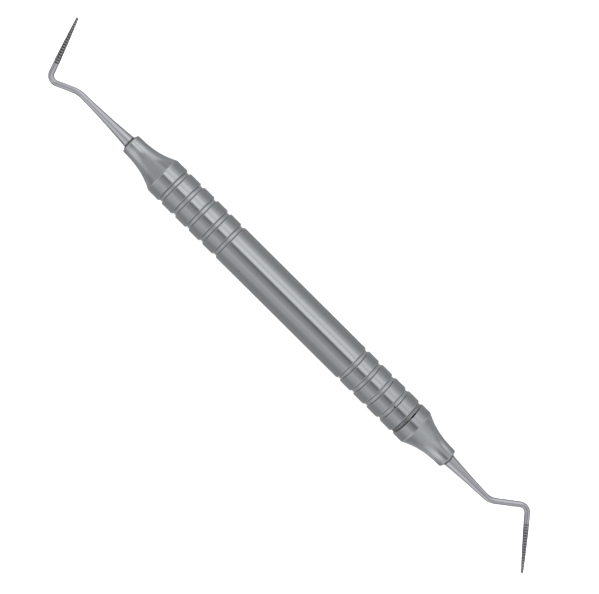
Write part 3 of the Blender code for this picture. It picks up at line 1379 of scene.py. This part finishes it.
@dataclass(frozen=True)
class WorkingEnd:
    """The shank and the ring-marked tip, drawn and bent in one piece, with its hidden tang.

    Attributes:
        end: The end that it is on.
        face: Distance of the nose cone's face from the handle's middle.
        axis: The point on the handle's axis at its middle.
        steel: Its finish.
        root_radius: Radius where it leaves the nose cone.
        shank_radius: Radius at the end of the first taper.
        tip_radius: Radius where the tip's taper starts.
        tip_end_radius: Radius at the tip's end.
        taper: Length of the first taper.
        taper_curve: How quickly the first taper thins.
        tip_taper: Length of the tip's taper.
        tip_curve: How quickly the tip thins.
        tang_radius: Radius of the tang.
        tang_length: Length of the tang under the seal's seat.
        tang_chamfer: Chamfer on the tang's end.
        seat_depth: Depth of the seal's seat, less the gap under the root.
        step: Longest step along a straight stretch.
        bend_step: Largest turn of one step in a bend.
    """

    ROUND_STEPS: ClassVar[int] = 6
    LAST_RING: ClassVar[float] = 0.05  # the end face before it is drawn to a point, as a share of the tip
    MARKS: ClassVar[Mapping[End, RingMarks]] = {
        End.A: RingMarks(),
        End.B: RingMarks(middle_dirt=0.90, end_dirt=0.66, land_dirt=0.35),
    }

    end: End
    face: float
    axis: Vector
    steel: ShankSteel = ShankSteel()
    root_radius: float = 1.625 * MM
    shank_radius: float = 0.765 * MM
    tip_radius: float = 0.72 * MM
    tip_end_radius: float = 0.325 * MM
    taper: float = 17.1 * MM
    taper_curve: float = 1.8
    tip_taper: float = 10.6 * MM
    tip_curve: float = 0.85
    tang_radius: float = 1.5 * MM
    tang_length: float = 9.0 * MM
    tang_chamfer: float = 0.3 * MM
    seat_depth: float = 0.48 * MM
    step: float = 0.7 * MM
    bend_step: float = math.radians(4.5)

    @property
    def node(self) -> str:
        """Gives the CAD node's name."""
        return f"working_end_{self.end.value}"

    def runs(self) -> list[Run]:
        """Gives the centreline outside the nose cone, with three straight stretches and two bends.

        Returns:
            The stretches, from the nose cone to the tip's end.
        """
        bends = BENDS[self.end]
        tip_turn = bends.offset_angle + bends.tip_angle
        offset_setback = bends.offset_bend * math.tan(bends.offset_angle / 2)
        tip_setback = bends.tip_bend * math.tan(tip_turn / 2)
        return [
            Run(bends.straight - offset_setback),
            Run(bends.offset_bend * bends.offset_angle, bends.offset_angle),
            Run(bends.offset_length - offset_setback - tip_setback),
            Run(bends.tip_bend * tip_turn, -tip_turn),
            Run(bends.tip_length - tip_setback),
        ]

    def radius(self, along: float, length: float) -> float:
        """Gives the plain radius, without ring marks.

        Args:
            along: The place along the centreline, from the nose cone's face.
            length: The centreline's length.

        Returns:
            The radius there.
        """
        left = length - along
        if left < self.tip_taper:
            swell = (self.tip_radius - self.tip_end_radius) * (left / self.tip_taper) ** self.tip_curve
            return self.tip_end_radius + swell
        if along < self.taper:
            swell = (self.root_radius - self.shank_radius) * (1 - along / self.taper) ** self.taper_curve
            return self.shank_radius + swell
        plain = length - self.tip_taper - self.taper
        return self.shank_radius + (self.tip_radius - self.shank_radius) * (along - self.taper) / plain

    def ring_stations(self, length: float) -> list[tuple[float, float]]:
        """Gives the edges of every ring mark.

        Args:
            length: The centreline's length.

        Returns:
            The place along the centreline and the depth of each edge, from the shank to the tip.
        """
        marks = self.MARKS[self.end]
        stations = []
        for index in reversed(range(marks.count)):
            middle = length - marks.first - index * marks.pitch
            floor = marks.width / 2
            lip = floor + marks.flank
            stations += [(middle - lip, 0.0), (middle - floor, marks.depth)]
            stations += [(middle + floor, marks.depth), (middle + lip, 0.0)]
        return stations

    def build(self) -> bpy.types.Object:
        """Draws the tang, the shank and the tip, and dresses them.

        Returns:
            The piece.
        """
        runs = self.runs()
        length = sum(run.length for run in runs)
        shoulder = self.face - self.seat_depth
        outwards = Vector((self.end.sign, 0.0, 0.0))
        start = self.axis + outwards * (shoulder - self.tang_length)
        bar = DrawnBar(start, self.end.heading, self.tang_radius - self.tang_chamfer)
        bar.draw(self.tang_chamfer, 0.0, self.tang_radius)
        bar.draw(self.tang_length - self.tang_chamfer, 0.0, self.tang_radius)
        bar.draw(0.0, 0.0, self.root_radius)
        bar.draw(self.seat_depth, 0.0, self.root_radius)
        along = 0.0
        for run in runs[:-1]:
            steps = math.ceil(max(run.length / self.step, abs(run.turn) / self.bend_step))
            for _ in range(steps):
                along += run.length / steps
                bar.draw(run.length / steps, run.turn / steps, self.radius(along, length))
        self.draw_tip(bar, along, length)
        piece = bar.close(f"ringed_working_end_{self.end.value}")
        steel = self.steel.make(self, bar.place, bar.heading + math.pi)
        dress(piece, steel, self.node)
        return piece

    def draw_tip(self, bar: DrawnBar, along: float, length: float) -> None:
        """Draws the tip with its ring marks and its rounded end.

        Args:
            bar: The bar, drawn as far as the tip's bend.
            along: The length drawn so far, from the nose cone's face.
            length: The centreline's length.
        """
        stations = self.ring_stations(length)
        plain = stations[0][0] - along
        steps = math.ceil(plain / self.step)
        stations = [(along + plain * step / steps, 0.0) for step in range(1, steps)] + stations
        ball = self.tip_end_radius
        for place, depth in stations:
            if place > along:
                bar.draw(place - along, 0.0, self.radius(place, length) - depth)
                along = place
        for step in range(self.ROUND_STEPS):
            angle = math.radians(90) * step / self.ROUND_STEPS
            place = length - ball * (1 - math.sin(angle))
            if place > along:
                bar.draw(place - along, 0.0, ball * math.cos(angle))
                along = place
        bar.draw(length - along, 0.0, self.LAST_RING * ball)


# --------------------------------------------------------------------------------------------------
# The studio
# --------------------------------------------------------------------------------------------------


@dataclass(frozen=True)
class Panel:
    """A flat soft light that hangs beside the handle and faces it.

    Attributes:
        name: Its name.
        low: Where it starts, in degrees about the handle from overhead, positive towards -Y.
        high: Where it ends.
        radiance: Its brightness.
        x: Its middle along the handle.
        length: Its length along the handle.
        distance: Its distance from the handle's axis.
        warmth: Its warmth.
    """

    name: str
    low: float
    high: float
    radiance: float
    x: float = 0.042
    length: float = 0.40
    distance: float = 0.6
    warmth: float = -0.01

    def hang(self, axis: Vector) -> None:
        """Adds the light.

        Args:
            axis: The point on the handle's axis at its middle.
        """
        angle = math.radians((self.low + self.high) / 2)
        width = 2 * self.distance * math.tan(math.radians(self.high - self.low) / 2)
        place = axis + Vector((self.x, -math.sin(angle) * self.distance, math.cos(angle) * self.distance))
        bpy.ops.object.light_add(type="AREA", location=place, rotation=(angle, 0.0, 0.0))
        light = bpy.context.object
        light.name = self.name
        light.data.shape = "RECTANGLE"
        light.data.size = self.length
        light.data.size_y = width
        light.data.color = grey(1.0, self.warmth)[:3]
        light.data.energy = self.radiance * math.pi * self.length * width
        light.visible_camera = False
        light.visible_diffuse = False


@dataclass(frozen=True)
class RoomSection:
    """How bright the room is around the handle, for directions that lean so far towards its ends.

    Attributes:
        low: The lowest X part of those directions.
        high: The highest X part of those directions.
        stops: (angle, brightness) pairs. The angles are in degrees from overhead, positive towards -Y.
        tint: Its warmth.
    """

    LOWER_HALF: ClassVar[float] = 0.36

    low: float
    high: float
    stops: tuple[tuple[float, float], ...]
    tint: float = -0.012

    def ramp(self) -> list[tuple[float, Colour]]:
        """Gives the stops of a colour ramp that runs once around the handle, from below to below."""
        stops = [(-180.0, self.LOWER_HALF), *self.stops, (180.0, self.LOWER_HALF)]
        return [(degrees / 360 + 0.5, grey(value, self.tint)) for degrees, value in stops]


ROOM = (
    RoomSection(
        -1.0,
        -0.60,
        (
            (-95, 0.38), (-75, 0.47), (-59, 0.56), (-43, 0.61), (-11, 0.67), (14, 0.74), (37, 0.70),
            (62, 0.62), (84, 0.50), (96, 0.42),
        ),
    ),
    RoomSection(
        -0.47,
        -0.43,
        (
            (-93, 0.50), (-75, 0.78), (-60, 0.85), (-43, 0.74), (-30, 0.68), (-5, 0.63), (8, 0.70),
            (21, 0.78), (37, 0.70), (50, 0.56), (62, 0.43), (70, 0.38), (78, 0.42), (86, 0.55),
            (98, 0.45),
        ),
    ),
    RoomSection(
        -0.31,
        -0.24,
        (
            (-96, 0.66), (-80, 0.84), (-68, 1.02), (-44, 1.06), (-35, 0.80), (-22, 0.46), (-10, 0.33),
            (-2, 0.36), (6, 0.46), (14, 0.50), (20, 0.60), (29, 0.64), (37, 0.44), (44, 0.36),
            (52, 0.68), (60, 0.97), (78, 0.86), (90, 0.66), (102, 0.42),
        ),
    ),
    RoomSection(
        -0.19,
        -0.17,
        (
            (-92, 0.32), (-76, 0.45), (-52, 0.52), (-42, 0.57), (-34, 0.48), (-27, 0.43), (-16, 0.38),
            (-3, 0.17), (3, 0.20), (10, 0.50), (50, 0.62), (62, 0.56), (70, 0.46), (78, 0.42),
            (96, 0.35),
        ),
    ),
    RoomSection(
        -0.13,
        0.105,
        (
            (-92, 0.36), (-84, 0.42), (-76, 0.50), (-68, 0.57), (-52, 0.59), (-42, 0.67), (-34, 0.56),
            (-27, 0.47), (-16, 0.40), (-8, 0.34), (-3, 0.17), (3, 0.20), (10, 0.60), (50, 0.76),
            (62, 0.70), (70, 0.57), (78, 0.48), (86, 0.41), (96, 0.37),
        ),
    ),
    RoomSection(
        0.13,
        0.24,
        (
            (-100, 0.45), (-88, 0.62), (-76, 0.82), (-62, 0.92), (-44, 0.95), (-34, 0.84), (-25, 0.66),
            (-14, 0.60), (4, 0.64), (14, 0.60), (28, 0.70), (40, 0.84), (54, 0.92), (66, 0.90),
            (78, 0.74), (90, 0.52), (104, 0.40),
        ),
    ),
    RoomSection(
        0.32,
        0.35,
        (
            (-95, 0.46), (-83, 0.62), (-72, 0.75), (-51, 0.84), (-38, 0.64), (-26, 0.47), (-8, 0.45),
            (5, 0.47), (14, 0.49), (24, 0.54), (34, 0.70), (44, 0.92), (54, 0.98), (64, 0.88),
            (78, 0.70), (90, 0.56), (102, 0.42),
        ),
    ),
    RoomSection(
        0.44,
        0.53,
        (
            (-94, 0.42), (-80, 0.58), (-66, 0.67), (-50, 0.60), (-35, 0.53), (5, 0.51), (21, 0.60),
            (40, 0.76), (53, 0.90), (69, 0.87), (84, 0.71), (100, 0.50),
        ),
    ),
    RoomSection(
        0.62,
        1.0,
        (
            (-93, 0.36), (-80, 0.46), (-67, 0.54), (-30, 0.515), (8, 0.51), (24, 0.57), (38, 0.65),
            (48, 0.58), (58, 0.48), (72, 0.41), (82, 0.49), (90, 0.49), (102, 0.40),
        ),
    ),
)


@dataclass(frozen=True)
class Camera:
    """The camera over the instrument.

    Attributes:
        place: Where it stands.
        target: The point that it looks at.
        roll: Its turn about its own axis, in degrees.
        lens: Its focal length, in millimetres.
        sensor: Its sensor's width, in millimetres.
    """

    place: tuple[float, float, float] = (15.37 * MM, 4.16 * MM, 363.81 * MM)
    target: tuple[float, float, float] = (-0.52 * MM, -2.45 * MM, 4.989 * MM)
    roll: float = 224.81
    lens: float = 89.79
    sensor: float = 36.0

    def stand(self) -> None:
        """Adds the camera and makes it the scene's own."""
        ahead = (Vector(self.target) - Vector(self.place)).normalized()
        level = ahead.cross(Vector((0, 1, 0))).normalized()
        upright = level.cross(ahead)
        angle = math.radians(self.roll)
        right = math.cos(angle) * level + math.sin(angle) * upright
        up = math.cos(angle) * upright - math.sin(angle) * level
        turn = Matrix((right, up, -ahead)).transposed()
        bpy.ops.object.camera_add(location=self.place, rotation=turn.to_euler())
        camera = bpy.context.object
        camera.name = "camera"
        camera.data.lens = self.lens
        camera.data.sensor_width = self.sensor
        camera.data.clip_start = 0.01
        camera.data.clip_end = 50.0
        camera.data.dof.use_dof = False
        bpy.context.scene.camera = camera


@dataclass(frozen=True)
class Studio:
    """The plain pale floor, the soft light and the camera.

    Attributes:
        axis: The point on the handle's axis at its middle.
        floor_radius: Radius of the level floor.
        cove_radius: Radius of the curve that carries it up into a wall.
        wall_height: Height of the wall above the curve.
        sides: Sides of the floor's outline.
        cove_steps: Steps in the curve.
        floor_colour: The floor's colour.
        overhead: Strength of the broad light from above, which the steel doesn't mirror.
        overhead_spread: The angle that this light seems to fill.
        room: The room's brightness, in sections from the handle's -X end to its +X end.
        panels: The soft lights.
    """

    axis: Vector
    floor_radius: float = 1.2
    cove_radius: float = 0.6
    wall_height: float = 1.6
    sides: int = 96
    cove_steps: int = 12
    floor_colour: Colour = (0.84, 0.84, 0.84, 1.0)
    overhead: float = 5.5
    overhead_spread: float = math.radians(100)
    room: tuple[RoomSection, ...] = ROOM
    panels: tuple[Panel, ...] = (
        Panel("panel_near", 8.0, 27.0, 0.50, x=0.057, length=0.37),
        Panel("panel_far", 30.0, 57.0, 0.24, x=0.065, length=0.39),
    )

    def lay_floor(self) -> None:
        """Adds the floor, which curves up into a wall all round, so that it fills every view."""
        bpy.ops.object.select_all(action="DESELECT")
        bpy.ops.mesh.primitive_circle_add(
            vertices=self.sides, radius=self.floor_radius, fill_type="NGON", location=(0, 0, 0)
        )
        floor = bpy.context.object
        floor.name = "studio_floor"
        bpy.ops.object.mode_set(mode="EDIT")
        bpy.ops.mesh.select_mode(type="EDGE")
        bpy.ops.mesh.select_all(action="SELECT")
        bpy.ops.mesh.region_to_loop()
        radius = self.floor_radius
        for step in range(1, self.cove_steps + 1):
            angle = math.radians(90) * step / self.cove_steps
            before = math.radians(90) * (step - 1) / self.cove_steps
            rise = self.cove_radius * (math.cos(before) - math.cos(angle))
            grown = self.floor_radius + self.cove_radius * math.sin(angle)
            bpy.ops.mesh.extrude_region_move(TRANSFORM_OT_translate={"value": (0, 0, rise)})
            growth = grown / radius
            bpy.ops.transform.resize(value=(growth, growth, 1.0), center_override=(0, 0, 0))
            radius = grown
        bpy.ops.mesh.extrude_region_move(TRANSFORM_OT_translate={"value": (0, 0, self.wall_height)})
        bpy.ops.mesh.select_all(action="SELECT")
        bpy.ops.mesh.normals_make_consistent(inside=True)
        bpy.ops.object.mode_set(mode="OBJECT")
        bpy.ops.object.shade_smooth_by_angle(angle=math.radians(30))
        paint = Paint("floor_paper", 0.0, Vector((0, 0, 0)))
        paint.feed("Base Color", self.floor_colour)
        paint.feed("Roughness", 0.9)
        paint.feed("Specular IOR Level", 0.1)
        floor.data.materials.append(paint.material)
        floor.visible_glossy = False
        floor.visible_diffuse = False
        floor.visible_shadow = False

    def light_room(self) -> None:
        """Lights the room by angle around the handle, and by lean towards its ends."""
        world = bpy.data.worlds.new("room")
        world.use_nodes = True
        bpy.context.scene.world = world
        sheet = NodeSheet(world.node_tree)
        x, y, z = sheet.parts(sheet.add("ShaderNodeTexCoord", output="Generated"))
        angle = sheet.maths("ARCTAN2", 0 - y, z) / math.tau + 0.5
        ramps = [
            sheet.add("ShaderNodeValToRGB", {"stops": section.ramp()}, {0: angle}, "Color")
            for section in self.room
        ]
        colour = ramps[0]
        for before, after, ramp in zip(self.room, self.room[1:], ramps[1:]):
            colour = sheet.mix(x.step(before.high, after.low), colour, ramp)
        background = world.node_tree.nodes["Background"]
        world.node_tree.links.new(colour.socket, background.inputs["Color"])
        background.inputs["Strength"].default_value = 1.0

    def light_floor(self) -> None:
        """Adds the broad overhead light that whitens the floor and casts the soft shadow."""
        bpy.ops.object.light_add(type="SUN", location=(0, 0, 1))
        sun = bpy.context.object
        sun.name = "overhead"
        sun.data.energy = self.overhead
        sun.data.angle = self.overhead_spread
        sun.visible_glossy = False
        sun.visible_camera = False

    def build(self) -> None:
        """Builds the studio."""
        self.lay_floor()
        self.light_room()
        self.light_floor()
        for panel in self.panels:
            panel.hang(self.axis)
        Camera().stand()
        bpy.context.scene.view_settings.view_transform = "Standard"


def main() -> None:
    """Builds the instrument and its studio."""
    logging.basicConfig(level=logging.INFO, format="%(name)s: %(message)s")
    handle = Handle.from_frame()
    lathe = Lathe(handle.axis)
    resin = SealResin().make("resin", handle.axis)
    Barrel(handle).build(lathe)
    for end in End:
        cone = NoseCone(handle, end)
        cone.build(lathe)
        TangSeal(end).build(lathe, resin)
        WorkingEnd(end, cone.face, handle.axis).build()
    Studio(handle.axis).build()


if __name__ == "__main__":
    main()
